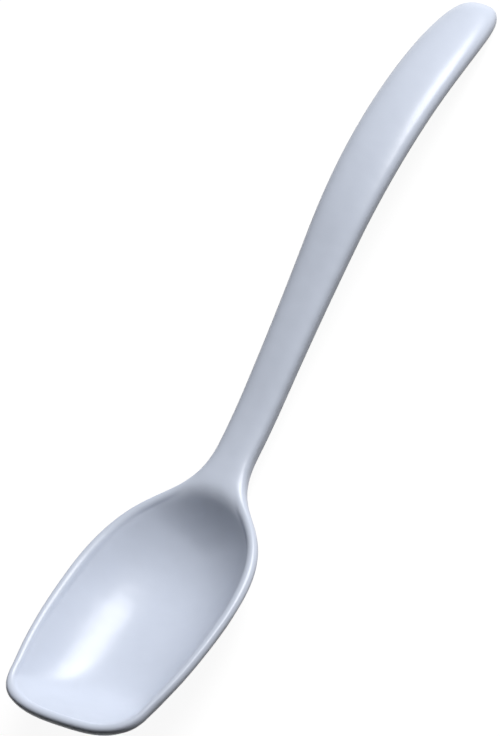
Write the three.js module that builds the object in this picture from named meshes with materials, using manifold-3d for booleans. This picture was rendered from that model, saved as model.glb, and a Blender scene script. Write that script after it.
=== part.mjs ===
// Scoop spoon for serving, moulded in one piece from glossy pale melamine. Millimetres, +Z up.
// The moulding is drawn level first: x across, y from the front edge of the bowl to the end of the handle,
// z up from the plane of the rim. It is then tipped back until it lies on a table on bowl and handle end.
// Its four regions are kept as separate solids: bowl, rim, neck and handle.

import * as THREE from "three";
import { mergeVertices } from "three/addons/utils/BufferGeometryUtils.js";
import Module from "manifold-3d";

const wasm = await Module();
wasm.setup();

const { clamp, degToRad, lerp, smoothstep } = THREE.MathUtils;

// Overall length, seen from above
const LENGTH = 245.9;

// Bowl outline: a bowed front edge, round corners, sides that spread to the shoulders
const FRONT_WIDTH = 48.3;
const CORNER_AT = 14.3;
const FRONT_RUN = 24;
const CORNER_RUN = 7.5;
const SIDE_LEAN = degToRad(14.05);
const SIDE_RUN = 13.1;
const BOWL_WIDTH = 54.9;
const BOWL_WIDEST_AT = 45.5;
const WIDEST_RUN = 6.7;
const SHOULDER_RUN = 36.3;

// Neck and handle outline: the narrowest place, the widest place of the grip, the round end
const NECK_WIDTH = 12.5;
const NECK_AT = 96.3;
const FLARE_RUN = 22;
const NECK_RUN = 58.9;
const HANDLE_WIDTH = 19.2;
const HANDLE_WIDEST_AT = 213.2;
const GRIP_RUN = 52.5;
const TIP_RUN = 30.5;
const TIP_ROUND = 6.5;
const TIP_INSET = 8;

// Side profile of the edge: level rim, a bend up to the handle, a straight rise, an arch to the end
const BEND_AT = 57.5;
const BEND_RADIUS = 164.4;
const RISE = degToRad(19.65);
const ARCH_AT = 158.3;
const ARCH_RADIUS = 157.4;

// Hollow of the bowl, measured at the middle of its wall: a round wall along the sides and the back,
// a roll over to the neck, and a ramp up to the front edge
const BOWL_DEPTH = 13.8;
const DEEPEST_AT = 52;
const WALL_POWER = 2.55;
const RIM_ROOM = 1.6;
const ROLL = 1.35;
const BACK_FROM = 44.4;
const BACK_AT = 82.8;
const RAMP_SLOPE = 0.68;
const FRONT_BOW = 3.9;
const FRONT_ROOM = 0.5;
const BLEND = 6;

// Thickness: an even wall with a round bead for a rim, swelling into a bar with soft edges
const WALL = 2.1;
const RIM = 3.1;
const HANDLE_THICKNESS = 6;
const TIP_THICKNESS = 8.1;
const SQUARENESS = 2.95;
const TIP_SQUARENESS = 2.25;
const SWELL_FROM = 72;
const SWELL_TO = 87;

// Lines where the regions part, and the hairline between their solids
const RIM_WIDTH = 3.6;
const NECK_FROM = 87;
const HANDLE_FROM = 112;
const PART_LINE = 0.2;

// Depth of the flats that the spoon lies on
const REST_FLAT = 0.25;

// Mesh steps: along each stretch of the outline, across bowl and bar, round the edge of the rim
const STRETCH_STEPS = [12, 8, 20, 16, 12];
const BOWL_STEPS = 12;
const BAR_STEPS = 8;
const EDGE_STEPS = 4;
const UNDERSIDE_STEPS = 200;
const SMALL = 1e-3;
const WELD = 1e-4;

const SHELL = { color: 0xdfe7f7, roughness: 0.31, metalness: 0 };

// Right half of the outline, from the middle of the front edge to the end of the handle
const corner = new THREE.Vector2(FRONT_WIDTH / 2, CORNER_AT);
const lean = new THREE.Vector2(Math.sin(SIDE_LEAN), Math.cos(SIDE_LEAN));
const widest = new THREE.Vector2(BOWL_WIDTH / 2, BOWL_WIDEST_AT);
const narrowest = new THREE.Vector2(NECK_WIDTH / 2, NECK_AT);
const grip = new THREE.Vector2(HANDLE_WIDTH / 2, HANDLE_WIDEST_AT);

function across(distance) {
  return new THREE.Vector2(distance, 0);
}

function along(distance) {
  return new THREE.Vector2(0, distance);
}

function leaning(distance) {
  return lean.clone().multiplyScalar(distance);
}

function stretch(from, fromRun, toRun, to) {
  return new THREE.CubicBezierCurve(from, from.clone().add(fromRun), to.clone().sub(toRun), to);
}

const outline = [
  stretch(across(0), across(FRONT_RUN), leaning(CORNER_RUN), corner),
  stretch(corner, leaning(SIDE_RUN), along(WIDEST_RUN), widest),
  stretch(widest, along(SHOULDER_RUN), along(FLARE_RUN), narrowest),
  stretch(narrowest, along(NECK_RUN), along(GRIP_RUN), grip),
  stretch(grip, along(TIP_RUN), across(-TIP_ROUND), along(LENGTH)),
];
const WIDEST_STATION = 2;
const END_STATION = outline.length;

// Point of the outline. A station is the number of a stretch plus the share along it.
function edgePoint(station) {
  const inside = clamp(station, 0, END_STATION);
  const index = Math.min(Math.floor(inside), END_STATION - 1);
  return outline[index].getPoint(inside - index);
}

// Station behind the widest place of the bowl at which the outline reaches a given y
function stationAt(y) {
  let low = WIDEST_STATION;
  let high = END_STATION;
  while (high - low > WELD) {
    const half = (low + high) / 2;
    if (edgePoint(half).y < y) low = half;
    else high = half;
  }
  return low;
}

// Height of the edge line above the plane of the rim
function edgeHeight(y) {
  const bendEnd = BEND_AT + BEND_RADIUS * Math.sin(RISE);
  const bendTop = BEND_RADIUS * (1 - Math.cos(RISE));
  const archFoot = bendTop + (ARCH_AT - bendEnd) * Math.tan(RISE);
  const crestAt = ARCH_AT + ARCH_RADIUS * Math.sin(RISE);
  const archCentre = archFoot - ARCH_RADIUS * Math.cos(RISE);
  if (y < BEND_AT) return 0;
  if (y < bendEnd) return BEND_RADIUS - Math.sqrt(BEND_RADIUS ** 2 - (y - BEND_AT) ** 2);
  if (y < ARCH_AT) return bendTop + (y - bendEnd) * Math.tan(RISE);
  return archCentre + Math.sqrt(ARCH_RADIUS ** 2 - (y - crestAt) ** 2);
}

// The higher of two values, with a soft change from one to the other
function softHigher(a, b, blend) {
  const near = Math.max(blend - Math.abs(a - b), 0) / blend;
  return Math.max(a, b) + (near * near * blend) / 4;
}

// Depth of the hollow below the edge line
function hollowDepth(x, y) {
  const ahead = Math.max(0, BOWL_WIDEST_AT - y) / (BOWL_WIDEST_AT - CORNER_AT);
  const side = lerp(BOWL_WIDTH, FRONT_WIDTH, ahead ** 2) / 2 - RIM_ROOM;
  const back = Math.max(0, y - BACK_FROM) / (BACK_AT - BACK_FROM);
  const front = CORNER_AT * Math.abs(x / corner.x) ** FRONT_BOW + FRONT_ROOM;
  const wall = softHigher(BOWL_DEPTH * (1 - Math.hypot(x / side, back) ** WALL_POWER), 0, ROLL);
  const ramp = softHigher(RAMP_SLOPE * (y - front), 0, ROLL);
  if (wall <= 0 || ramp <= 0) return 0;
  return (wall ** -BLEND + ramp ** -BLEND) ** (-1 / BLEND);
}

// Height of the middle surface of the moulding
function middleHeight(x, y) {
  return edgeHeight(y) - hollowDepth(x, y);
}

// A spoke runs from the spine, which is the middle line of the spoon, to a point of the outline. In front
// of the shoulders all spokes start at the deepest place. Behind them their starts gather pace until they
// keep up with the outline at the neck, and along the handle the spokes run square across.
function spoke(station) {
  const edge = edgePoint(station);
  const shoulder = Math.max(0, edge.y - BOWL_WIDEST_AT) / (NECK_AT - BOWL_WIDEST_AT);
  const pace = (NECK_AT - BOWL_WIDEST_AT) / (NECK_AT - DEEPEST_AT);
  const start = shoulder ** 2 * (3 - pace + (pace - 2) * shoulder);
  const behind = edge.y < NECK_AT ? lerp(DEEPEST_AT, NECK_AT, start) : edge.y;
  const spineY = Math.min(behind, LENGTH - TIP_INSET);
  const taper = Math.max(0, edge.y - SWELL_TO) / (LENGTH - SWELL_TO);
  return {
    edge,
    spineY,
    reach: Math.hypot(edge.x, edge.y - spineY),
    swell: smoothstep(edge.y, SWELL_FROM, SWELL_TO),
    barThickness: lerp(HANDLE_THICKNESS, TIP_THICKNESS, taper),
    squareness: lerp(SQUARENESS, TIP_SQUARENESS, taper),
  };
}

// Point of the middle surface, at a share of the way from the spine to the edge
function middle(line, share) {
  const x = line.edge.x * share;
  const y = lerp(line.spineY, line.edge.y, share);
  return new THREE.Vector3(x, y, middleHeight(x, y));
}

// Half the thickness: a wall that ends in a round bead, or a bar whose section is a superellipse
function halfThickness(line, share) {
  const bead = RIM / 2;
  const { swell, barThickness, squareness } = line;
  const inward = middle(line, 1).distanceTo(middle(line, share));
  const round = Math.sqrt(Math.max(0, bead ** 2 - (bead - inward) ** 2));
  const wall = inward < bead ? round : softHigher(WALL / 2, round, bead - WALL / 2);
  const bar = (barThickness / 2) * Math.max(0, 1 - share ** squareness) ** (1 / squareness);
  return lerp(wall, bar, swell);
}

// Upward normal of the middle surface
function normal({ x, y }) {
  const slopeX = (middleHeight(x + SMALL, y) - middleHeight(x - SMALL, y)) / (2 * SMALL);
  const slopeY = (middleHeight(x, y + SMALL) - middleHeight(x, y - SMALL)) / (2 * SMALL);
  return new THREE.Vector3(x > 0 ? -slopeX : 0, -slopeY, 1).normalize();
}

// Point of the skin: face is 1 on top and -1 underneath
function skinPoint(station, share, face) {
  const line = spoke(station);
  const point = middle(line, share);
  return point.addScaledVector(normal(point), face * halfThickness(line, share));
}

// The spoon tips back until the underside of the bowl and that of the handle are equally low
const underside = [];
for (let step = 0; step <= UNDERSIDE_STEPS; step += 1) {
  const share = step / UNDERSIDE_STEPS;
  underside.push(skinPoint(0, share, -1));
  underside.push(skinPoint(lerp(WIDEST_STATION, END_STATION, share), 0, -1));
  underside.push(skinPoint(END_STATION, share, -1));
}

function tipped(point, angle) {
  return point.clone().applyAxisAngle(new THREE.Vector3(1, 0, 0), -angle);
}

function lowest(points, angle) {
  return Math.min(...points.map((point) => tipped(point, angle).z));
}

function findRestAngle() {
  const bowlSide = underside.filter((point) => point.y < NECK_AT);
  const handleSide = underside.filter((point) => point.y >= NECK_AT);
  let low = 0;
  let high = Math.PI / 4;
  while (high - low > WELD) {
    const half = (low + high) / 2;
    if (lowest(handleSide, half) > lowest(bowlSide, half)) low = half;
    else high = half;
  }
  return low;
}

const restAngle = findRestAngle();
const tableHeight = lowest(underside, restAngle) + REST_FLAT;

function placed(point) {
  const result = tipped(point, restAngle);
  result.z -= tableHeight;
  return result;
}

// Stations between two places, with the steps of each stretch that they cross
function stationsBetween(from, to) {
  const result = [from];
  STRETCH_STEPS.forEach((steps, index) => {
    for (let step = 0; step < steps; step += 1) {
      const station = index + step / steps;
      if (station > from + SMALL && station < to - SMALL) result.push(station);
    }
  });
  return [...result, to];
}

// Faces of one region. Each is laid on the right half and mirrored to the left.
class Region {
  constructor(stations, shares) {
    this.stations = stations;
    this.shares = shares;
    this.corners = [];
  }

  quad(a, b, c, d) {
    const mirrored = [a, c, b, a, d, c].map((point) => new THREE.Vector3(-point.x, point.y, point.z));
    this.corners.push(a, b, c, a, c, d, ...mirrored);
  }

  // Point by the numbers of its station and its share
  at(i, j, face) {
    const station = this.stations[i];
    return placed(skinPoint(station, this.shares(spoke(station))[j], face));
  }

  get lastStation() {
    return this.stations.length - 1;
  }

  get lastShare() {
    return this.shares(spoke(this.stations[0])).length - 1;
  }

  skin() {
    for (let i = 0; i < this.lastStation; i += 1) {
      for (let j = 0; j < this.lastShare; j += 1) {
        const nextI = i + 1;
        const nextJ = j + 1;
        this.quad(this.at(i, j, 1), this.at(i, nextJ, 1), this.at(nextI, nextJ, 1), this.at(nextI, j, 1));
        this.quad(this.at(i, j, -1), this.at(nextI, j, -1), this.at(nextI, nextJ, -1), this.at(i, nextJ, -1));
      }
    }
    return this;
  }

  // Wall along the outline that closes the outer side of the region
  outerWall() {
    const j = this.lastShare;
    for (let i = 0; i < this.lastStation; i += 1) {
      this.quad(this.at(i, j, -1), this.at(i + 1, j, -1), this.at(i + 1, j, 1), this.at(i, j, 1));
    }
    return this;
  }

  innerWall() {
    for (let i = 0; i < this.lastStation; i += 1) {
      this.quad(this.at(i, 0, -1), this.at(i, 0, 1), this.at(i + 1, 0, 1), this.at(i + 1, 0, -1));
    }
    return this;
  }

  frontWall() {
    for (let j = 0; j < this.lastShare; j += 1) {
      this.quad(this.at(0, j, -1), this.at(0, j + 1, -1), this.at(0, j + 1, 1), this.at(0, j, 1));
    }
    return this;
  }

  backWall() {
    const i = this.lastStation;
    for (let j = 0; j < this.lastShare; j += 1) {
      this.quad(this.at(i, j, -1), this.at(i, j, 1), this.at(i, j + 1, 1), this.at(i, j + 1, -1));
    }
    return this;
  }

  solid() {
    return toSolid(new THREE.BufferGeometry().setFromPoints(this.corners));
  }
}

// Closed solid from a geometry, without the faces that shrink to a line where spokes meet
function toSolid(geometry) {
  geometry.deleteAttribute("normal");
  geometry.deleteAttribute("uv");
  const welded = mergeVertices(geometry, WELD);
  const triVerts = [];
  for (let i = 0; i < welded.index.count; i += 3) {
    const [a, b, c] = welded.index.array.subarray(i, i + 3);
    if (a !== b && b !== c && c !== a) triVerts.push(a, b, c);
  }
  const mesh = new wasm.Mesh({
    numProp: 3,
    vertProperties: welded.attributes.position.array,
    triVerts: new Uint32Array(triVerts),
  });
  return new wasm.Manifold(mesh);
}

function toGeometry(solid) {
  const { vertProperties, triVerts } = solid.getMesh();
  const geometry = new THREE.BufferGeometry();
  geometry.setAttribute("position", new THREE.BufferAttribute(vertProperties, 3));
  geometry.setIndex(new THREE.BufferAttribute(triVerts, 1));
  return geometry;
}

// Shares across: even over the bowl, from its wall round the bead of the rim, closer at a bar's edges
function bowlShares(line) {
  const last = 1 - (RIM_WIDTH + PART_LINE) / line.reach;
  return Array.from({ length: BOWL_STEPS + 1 }, (_, j) => (last * j) / BOWL_STEPS);
}

function towardsEdge(steps) {
  return Array.from({ length: steps + 1 }, (_, j) => Math.sin((j / steps) * (Math.PI / 2)));
}

function rimShares(line) {
  const round = RIM / 2 / line.reach;
  const inner = RIM_WIDTH / line.reach;
  const edge = towardsEdge(EDGE_STEPS).map((share) => 1 - round + round * share);
  return [1 - inner, 1 - (inner + round) / 2, ...edge];
}

function barShares() {
  return towardsEdge(BAR_STEPS);
}

// Stations of the regions, each ending half a hairline before the line where it parts from the next
function before(y) {
  return stationAt(y - PART_LINE / 2);
}

function after(y) {
  return stationAt(y + PART_LINE / 2);
}

const bowlStations = stationsBetween(0, before(NECK_FROM));
const neckStations = stationsBetween(after(NECK_FROM), before(HANDLE_FROM));
const handleStations = stationsBetween(after(HANDLE_FROM), END_STATION);

const regions = {
  bowl: new Region(bowlStations, bowlShares).skin().outerWall().backWall(),
  rim: new Region(bowlStations, rimShares).skin().innerWall().backWall(),
  neck: new Region(neckStations, barShares).skin().frontWall().backWall(),
  handle: new Region(handleStations, barShares).skin().frontWall(),
};

// What lies below the table top is trimmed off, which leaves the flats
const tableSize = 2 * LENGTH;
const tableBlock = new THREE.BoxGeometry(tableSize, 2 * tableSize, tableSize);
const table = toSolid(tableBlock.translate(0, 0, -tableSize / 2));

const spoon = new THREE.Group();
const box = new THREE.Box3();
for (const [name, region] of Object.entries(regions)) {
  const geometry = toGeometry(region.solid().subtract(table));
  const mesh = new THREE.Mesh(geometry, new THREE.MeshStandardMaterial(SHELL));
  mesh.name = name;
  box.expandByObject(mesh);
  spoon.add(mesh);
}

// The origin is on the table under the middle of the spoon
const centre = box.getCenter(new THREE.Vector3());
for (const mesh of spoon.children) mesh.geometry.translate(0, -centre.y, 0);

export default spoon;
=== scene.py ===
import math

import bpy
from mathutils import Euler, Matrix, Vector


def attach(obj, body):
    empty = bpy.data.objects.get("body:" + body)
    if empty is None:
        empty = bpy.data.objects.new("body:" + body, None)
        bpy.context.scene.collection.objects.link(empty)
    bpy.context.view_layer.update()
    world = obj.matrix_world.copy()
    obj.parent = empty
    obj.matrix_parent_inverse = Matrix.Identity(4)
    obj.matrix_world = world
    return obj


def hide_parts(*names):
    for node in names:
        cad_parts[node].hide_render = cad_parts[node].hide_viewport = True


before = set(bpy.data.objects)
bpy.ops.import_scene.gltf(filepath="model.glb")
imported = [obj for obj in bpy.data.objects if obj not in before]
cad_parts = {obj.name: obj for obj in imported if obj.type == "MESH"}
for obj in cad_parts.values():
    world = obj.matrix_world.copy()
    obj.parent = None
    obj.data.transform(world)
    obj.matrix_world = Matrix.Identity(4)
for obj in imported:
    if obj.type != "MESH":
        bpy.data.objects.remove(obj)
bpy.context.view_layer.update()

mm = 0.001
sameSpot = 1e-4 * mm      # points closer than this are merged
seamReach = 1e-3 * mm     # the two halves join within this


def mix(a, b, share):
    return a + (b - a) * share


def ease(value, low, high):
    share = min(max((value - low) / (high - low), 0.0), 1.0)
    return share * share * (3 - 2 * share)


def toLinear(hexColour):
    channels = [int(hexColour[i:i + 2], 16) / 255 for i in (0, 2, 4)]
    linear = [c / 12.92 if c <= 0.04045 else ((c + 0.055) / 1.055) ** 2.4 for c in channels]
    return (*linear, 1.0)


def deselectAll():
    bpy.ops.object.select_all(action="DESELECT")


# the spoon, drawn level in millimetres: y from the front edge of the bowl to the end of the handle,
# z from the plane of the rim, then tipped back to lie on the table
spoon = {
    "length": 245.9,
    "frontWidth": 48.3, "cornerAt": 14.3, "frontRun": 24.0, "cornerRun": 7.5,
    "sideLean": math.radians(14.05), "sideRun": 13.1,
    "bowlWidth": 54.9, "bowlWidestAt": 45.5, "widestRun": 6.7, "shoulderRun": 36.3,
    "neckWidth": 12.5, "neckAt": 96.3, "flareRun": 22.0, "neckRun": 58.9,
    "handleWidth": 19.2, "handleWidestAt": 213.2, "gripRun": 52.5,
    "tipRun": 30.5, "tipRound": 6.5, "tipInset": 8.0,
    "bendAt": 57.5, "bendRadius": 164.4, "rise": math.radians(19.65),
    "archAt": 158.3, "archRadius": 157.4,
    "bowlDepth": 13.8, "wallPower": 2.55, "rimRoom": 1.6, "roll": 1.35, "deepestAt": 52.0,
    "backFrom": 44.4, "backAt": 82.8,
    "rampSlope": 0.68, "frontBow": 3.9, "frontRoom": 0.5, "blend": 6.0,
    "wall": 2.1, "rim": 3.1, "swellFrom": 72.0, "swellTo": 87.0,
    "handleThickness": 6.0, "tipThickness": 8.1, "squareness": 2.95, "tipSquareness": 2.25,
    "restFlat": 0.25,                       # depth of the flats that it lies on
    "restStep": 1e-6,                       # radians, how closely the rest angle is found
    "stretchSteps": [40, 24, 60, 50, 40],   # mesh rows along each stretch of the outline
    "acrossSteps": 28, "edgeSteps": 20,     # mesh columns across a wall and round its edge
}


def spoonOutline(s):
    lean = Vector((math.sin(s["sideLean"]), math.cos(s["sideLean"])))
    along, across = Vector((0, 1)), Vector((1, 0))
    front = Vector((0, 0))
    corner = Vector((s["frontWidth"] / 2, s["cornerAt"]))
    widest = Vector((s["bowlWidth"] / 2, s["bowlWidestAt"]))
    narrowest = Vector((s["neckWidth"] / 2, s["neckAt"]))
    grip = Vector((s["handleWidth"] / 2, s["handleWidestAt"]))
    tip = Vector((0, s["length"]))
    return [
        (front, front + across * s["frontRun"], corner - lean * s["cornerRun"], corner),
        (corner, corner + lean * s["sideRun"], widest - along * s["widestRun"], widest),
        (widest, widest + along * s["shoulderRun"], narrowest - along * s["flareRun"], narrowest),
        (narrowest, narrowest + along * s["neckRun"], grip - along * s["gripRun"], grip),
        (grip, grip + along * s["tipRun"], tip + across * s["tipRound"], tip),
    ]


outline = spoonOutline(spoon)


# a station is the number of a stretch of the outline plus the share along it
def edgePoint(station):
    inside = min(max(station, 0.0), len(outline))
    index = min(int(inside), len(outline) - 1)
    a, b, c, d = outline[index]
    t = inside - index
    return a * (1 - t) ** 3 + b * (3 * t * (1 - t) ** 2) + c * (3 * t * t * (1 - t)) + d * t ** 3


# height of the edge line: level along the bowl, a bend, a straight rise, then the arch of the handle
def edgeHeight(y):
    s = spoon
    bendEnd = s["bendAt"] + s["bendRadius"] * math.sin(s["rise"])
    bendTop = s["bendRadius"] * (1 - math.cos(s["rise"]))
    archFoot = bendTop + (s["archAt"] - bendEnd) * math.tan(s["rise"])
    if y < s["bendAt"]:
        return 0.0
    if y < bendEnd:
        return s["bendRadius"] - math.sqrt(s["bendRadius"] ** 2 - (y - s["bendAt"]) ** 2)
    if y < s["archAt"]:
        return bendTop + (y - bendEnd) * math.tan(s["rise"])
    crestAt = s["archAt"] + s["archRadius"] * math.sin(s["rise"])
    archCentre = archFoot - s["archRadius"] * math.cos(s["rise"])
    return archCentre + math.sqrt(s["archRadius"] ** 2 - (y - crestAt) ** 2)


# the higher of two values, with a soft change from one to the other
def softHigher(a, b, size):
    near = max(size - abs(a - b), 0.0) / size
    return max(a, b) + near * near * size / 4


# depth of the hollow below the rim: the wall goes round sides and back, the ramp comes up to the front
def hollowDepth(x, y):
    s = spoon
    ahead = max(0.0, s["bowlWidestAt"] - y) / (s["bowlWidestAt"] - s["cornerAt"])
    side = mix(s["bowlWidth"], s["frontWidth"], ahead ** 2) / 2 - s["rimRoom"]
    back = max(0.0, y - s["backFrom"]) / (s["backAt"] - s["backFrom"])
    front = s["cornerAt"] * abs(2 * x / s["frontWidth"]) ** s["frontBow"] + s["frontRoom"]
    out = math.hypot(x / side, back)
    wall = softHigher(s["bowlDepth"] * (1 - out ** s["wallPower"]), 0.0, s["roll"])
    ramp = softHigher(s["rampSlope"] * (y - front), 0.0, s["roll"])
    if wall <= 0 or ramp <= 0:
        return 0.0
    return (wall ** -s["blend"] + ramp ** -s["blend"]) ** (-1 / s["blend"])


def middleHeight(x, y):
    return edgeHeight(y) - hollowDepth(x, y)


# a spoke runs from the middle line of the spoon to a point of its outline
def spokeAt(station):
    s = spoon
    edge = edgePoint(station)
    shoulder = max(0.0, edge.y - s["bowlWidestAt"]) / (s["neckAt"] - s["bowlWidestAt"])
    pace = (s["neckAt"] - s["bowlWidestAt"]) / (s["neckAt"] - s["deepestAt"])
    start = shoulder ** 2 * (3 - pace + (pace - 2) * shoulder)
    behind = mix(s["deepestAt"], s["neckAt"], start) if edge.y < s["neckAt"] else edge.y
    spineY = min(behind, s["length"] - s["tipInset"])
    taper = max(0.0, spineY - s["swellTo"]) / (s["length"] - s["swellTo"])
    return {
        "edge": edge, "spineY": spineY, "reach": math.hypot(edge.x, edge.y - spineY),
        "swell": ease(edge.y, s["swellFrom"], s["swellTo"]),
        "barThickness": mix(s["handleThickness"], s["tipThickness"], taper),
        "squareness": mix(s["squareness"], s["tipSquareness"], taper),
    }


def middlePoint(line, share):
    x = line["edge"].x * share
    y = mix(line["spineY"], line["edge"].y, share)
    return Vector((x, y, middleHeight(x, y)))


# half the thickness: a wall that ends in a round bead, swelling to the bar of the handle
def halfThickness(line, share):
    s = spoon
    half, bead = s["wall"] / 2, s["rim"] / 2
    inward = (middlePoint(line, 1.0) - middlePoint(line, share)).length
    turn = math.sqrt(max(0.0, bead ** 2 - (bead - inward) ** 2))
    wall = turn if inward < bead else softHigher(half, turn, bead - half)
    square = line["squareness"]
    bar = line["barThickness"] / 2 * max(0.0, 1 - share ** square) ** (1 / square)
    return mix(wall, bar, line["swell"])


smallStep = 1e-3      # mm to each side, for the slope


def normalAt(point):
    x, y = point.x, point.y
    slopeX = (middleHeight(x + smallStep, y) - middleHeight(x - smallStep, y)) / (2 * smallStep)
    slopeY = (middleHeight(x, y + smallStep) - middleHeight(x, y - smallStep)) / (2 * smallStep)
    return Vector((-slopeX if x > 0 else 0.0, -slopeY, 1)).normalized()


# shares across, from the middle line to the edge: even over a wall, closer at the edge of the handle
def sharesAcross(line):
    across, edge = spoon["acrossSteps"], spoon["edgeSteps"]
    roundShare = spoon["rim"] / line["reach"]
    shares = []
    for j in range(across + edge + 1):
        flat = (1 - roundShare) * min(j / across, 1)
        turn = math.sin(max(0, j - across) / edge * math.pi / 2)
        bar = math.sin(j / (across + edge) * math.pi / 2)
        shares.append(mix(flat + roundShare * turn, bar, line["swell"]))
    shares[-1] = 1.0
    return shares


def makeSpoon():
    s = spoon
    stations = [i + k / steps for i, steps in enumerate(s["stretchSteps"]) for k in range(steps)]
    stations.append(float(len(outline)))
    rows = []
    for station in stations:
        line = spokeAt(station)
        top, under = [], []
        for share in sharesAcross(line):
            middle = middlePoint(line, share)
            lift = normalAt(middle) * halfThickness(line, share)
            top.append(middle + lift)
            under.append(middle - lift)
        rows.append(top + under[-2::-1])

    # it tips back until bowl and handle end are equally low underneath
    underside = [row[-1] for row in rows] + rows[0] + rows[-1]
    low, high = 0.0, math.pi / 4
    while high - low > s["restStep"]:
        angle = (low + high) / 2
        turn = Matrix.Rotation(-angle, 3, "X")
        bowlLow = min((turn @ p).z for p in underside if p.y < s["neckAt"])
        handleLow = min((turn @ p).z for p in underside if p.y >= s["neckAt"])
        low, high = (angle, high) if handleLow > bowlLow else (low, angle)
    placed = [turn @ point for row in rows for point in row]
    table = min(p.z for p in placed) + s["restFlat"]
    middleY = (min(p.y for p in placed) + max(p.y for p in placed)) / 2
    settle = Matrix.Translation((0, -middleY * mm, -table * mm)) @ turn.to_4x4()
    print("rest angle", round(math.degrees(angle), 3), "degrees")

    # one half starts as a flat grid, and its rows and columns are laid on the moulding
    deselectAll()
    columns = len(rows[0])
    bpy.ops.mesh.primitive_grid_add(x_subdivisions=columns - 1, y_subdivisions=len(rows) - 1, size=1)
    piece = bpy.context.object
    piece.name = "spoon"
    for vertex, point in zip(piece.data.vertices, placed):
        vertex.co = Vector((point.x, point.y - middleY, max(0.0, point.z - table))) * mm

    bpy.ops.object.mode_set(mode="EDIT")
    bpy.ops.mesh.select_all(action="SELECT")
    bpy.ops.mesh.remove_doubles(threshold=sameSpot)
    bpy.ops.object.mode_set(mode="OBJECT")
    mirror = piece.modifiers.new("otherHalf", "MIRROR")
    mirror.use_axis = (True, False, False)
    mirror.use_clip = True
    mirror.merge_threshold = seamReach
    bpy.ops.object.modifier_apply(modifier=mirror.name)
    bpy.ops.object.mode_set(mode="EDIT")
    bpy.ops.mesh.select_all(action="SELECT")
    bpy.ops.mesh.remove_doubles(threshold=sameSpot)
    bpy.ops.mesh.normals_make_consistent(inside=False)
    bpy.ops.object.mode_set(mode="OBJECT")
    bpy.ops.object.shade_smooth()
    print("spoon", len(piece.data.vertices), "points", len(piece.data.polygons), "faces")
    return piece, settle


def addNode(tree, kind, settings=None, links=None):
    node = tree.nodes.new(kind)
    for name, value in (settings or {}).items():
        if isinstance(name, int) or name in node.inputs:
            node.inputs[name].default_value = value
        else:
            setattr(node, name, value)
    for name, source in (links or {}).items():
        tree.links.new(source, node.inputs[name])
    return node


# moulded glossy melamine, pressed in a polished mould: a hard pale skin, slightly cool, whose soft sheen and
# colour drift over a few millimetres, with a faint waviness, so that highlights don't look machine-flat
melamine = {
    "colour": "dfe7f7", "deepColour": "dce4f4",
    "driftSize": 6.0, "waveHeight": 0.1,    # mm
    "driftDetail": 1.0,
    "gloss": 0.31, "glossSpread": 0.02, "ior": 1.5,
}


def makeMelamine():
    m = melamine
    material = bpy.data.materials.new("moulded glossy melamine")
    material.use_nodes = True
    tree = material.node_tree
    tree.nodes.clear()
    place = addNode(tree, "ShaderNodeTexCoord")
    cloud = addNode(tree, "ShaderNodeTexNoise",
                    {"Scale": 1 / (m["driftSize"] * mm), "Detail": m["driftDetail"]},
                    {"Vector": place.outputs["Object"]})
    tint = addNode(tree, "ShaderNodeMix",
                   {"data_type": "RGBA", 6: toLinear(m["colour"]), 7: toLinear(m["deepColour"])},
                   {0: cloud.outputs["Fac"]})
    sheen = addNode(tree, "ShaderNodeMapRange",
                    {"To Min": m["gloss"], "To Max": m["gloss"] + m["glossSpread"]},
                    {"Value": cloud.outputs["Fac"]})
    wave = addNode(tree, "ShaderNodeBump", {"Strength": 1.0, "Distance": m["waveHeight"] * mm},
                   {"Height": cloud.outputs["Fac"]})
    shader = addNode(tree, "ShaderNodeBsdfPrincipled", {"IOR": m["ior"]},
                     {"Base Color": tint.outputs[2], "Roughness": sheen.outputs["Result"],
                      "Normal": wave.outputs["Normal"]})
    addNode(tree, "ShaderNodeOutputMaterial", None, {"Surface": shader.outputs["BSDF"]})
    print("melamine", m["colour"], "gloss", m["gloss"])
    return material


# pale studio floor: white to the camera and in reflections, with a faint shadow, and dim to the light
# that it throws up at the spoon
floor = {
    "size": 6.0,                            # m
    "white": "ffffff", "glow": 0.93, "shadowed": "6c6c6c", "bounce": "343434",
}


def makeFloor():
    f = floor
    deselectAll()
    bpy.ops.mesh.primitive_plane_add(size=f["size"], location=(0, 0, 0))
    piece = bpy.context.object
    piece.name = "studioFloor"
    material = bpy.data.materials.new("pale studio floor")
    material.use_nodes = True
    tree = material.node_tree
    tree.nodes.clear()
    path = addNode(tree, "ShaderNodeLightPath")
    mirrored = addNode(tree, "ShaderNodeMath", {"operation": "ADD", "use_clamp": True},
                       {0: path.outputs["Is Glossy Ray"], 1: path.outputs["Is Transmission Ray"]})
    seen = addNode(tree, "ShaderNodeMath", {"operation": "ADD", "use_clamp": True},
                   {0: path.outputs["Is Camera Ray"], 1: mirrored.outputs["Value"]})
    glow = addNode(tree, "ShaderNodeEmission", {"Color": toLinear(f["white"]), "Strength": f["glow"]})
    lit = addNode(tree, "ShaderNodeBsdfDiffuse", {"Color": toLinear(f["shadowed"])})
    pale = addNode(tree, "ShaderNodeAddShader", None, {0: glow.outputs["Emission"], 1: lit.outputs["BSDF"]})
    dim = addNode(tree, "ShaderNodeBsdfDiffuse", {"Color": toLinear(f["bounce"])})
    ground = addNode(tree, "ShaderNodeMixShader", None,
                     {0: seen.outputs["Value"], 1: dim.outputs["BSDF"], 2: pale.outputs["Shader"]})
    addNode(tree, "ShaderNodeOutputMaterial", None, {"Surface": ground.outputs["Shader"]})
    piece.data.materials.append(material)
    print("floor", f["size"], "m")


# soft box behind and above, a little to the right, in a dim room
studio = {
    "azimuth": 20.3, "elevation": 43.1,     # degrees
    "distance": 2.0, "size": (1.17, 1.03),  # m
    "power": 44.0,                          # W
    "roomColour": "ffffff", "room": 0.03,
}


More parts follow.
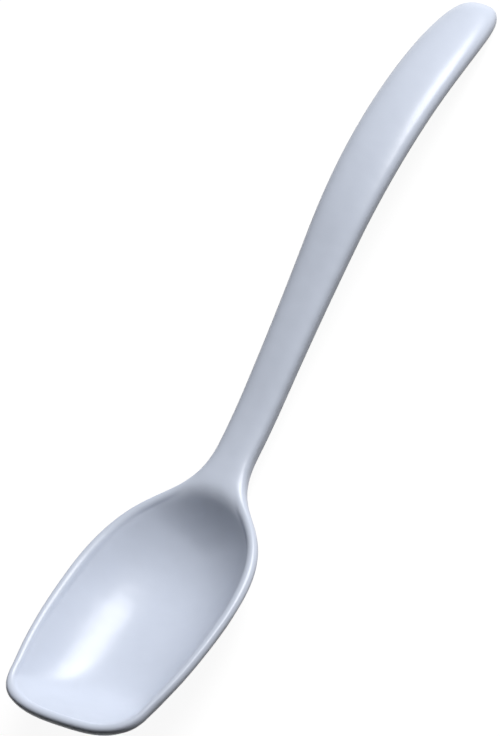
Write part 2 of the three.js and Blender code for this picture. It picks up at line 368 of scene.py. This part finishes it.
def makeLights():
    st = studio
    around, above = math.radians(st["azimuth"]), math.radians(st["elevation"])
    level = math.cos(above)
    away = Vector((math.sin(around) * level, math.cos(around) * level, math.sin(above)))
    lamp = bpy.data.lights.new("softBox", "AREA")
    lamp.shape = "RECTANGLE"
    lamp.size, lamp.size_y = st["size"]
    lamp.energy = st["power"]
    key = bpy.data.objects.new("softBox", lamp)
    bpy.context.scene.collection.objects.link(key)
    key.location = away * st["distance"]
    key.rotation_euler = away.to_track_quat("Z", "Y").to_euler()
    world = bpy.data.worlds.new("studioRoom")
    bpy.context.scene.world = world
    world.use_nodes = True
    background = world.node_tree.nodes["Background"]
    background.inputs["Color"].default_value = toLinear(st["roomColour"])
    background.inputs["Strength"].default_value = st["room"]
    print("soft box", st["power"], "W, room", st["room"])


# camera to the right and in front, looking down on the level spoon, then tipped back with it
camera = {
    "azimuth": 49.902, "elevation": 44.028, "roll": -23.950,    # degrees
    "target": (-1.26, 113.08, 20.31), "distance": 1500.0,       # mm
    "lens": 267.05, "sensorHeight": 36.0, "clipEnd": 20000.0,   # mm
}


def makeCamera(settle):
    c = camera
    data = bpy.data.cameras.new("photoCamera")
    data.sensor_fit = "VERTICAL"
    data.sensor_height = c["sensorHeight"]
    data.lens = c["lens"]
    data.clip_end = c["clipEnd"] * mm
    eye = bpy.data.objects.new("photoCamera", data)
    bpy.context.scene.collection.objects.link(eye)
    look = Euler((math.radians(90 - c["elevation"]), 0, math.radians(c["azimuth"]))).to_matrix()
    look = look @ Matrix.Rotation(math.radians(c["roll"]), 3, "Z")
    place = Vector(c["target"]) * mm + look @ Vector((0, 0, c["distance"] * mm))
    eye.matrix_world = settle @ Matrix.Translation(place) @ look.to_4x4()
    bpy.context.scene.camera = eye
    print("camera lens", c["lens"], "mm")


bpy.context.scene.view_settings.view_transform = "Standard"
spoonPiece, settle = makeSpoon()
spoonPiece.data.materials.clear()
spoonPiece.data.materials.append(makeMelamine())
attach(spoonPiece, "root")
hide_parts("bowl", "rim", "neck", "handle")
makeFloor()
makeLights()
makeCamera(settle)
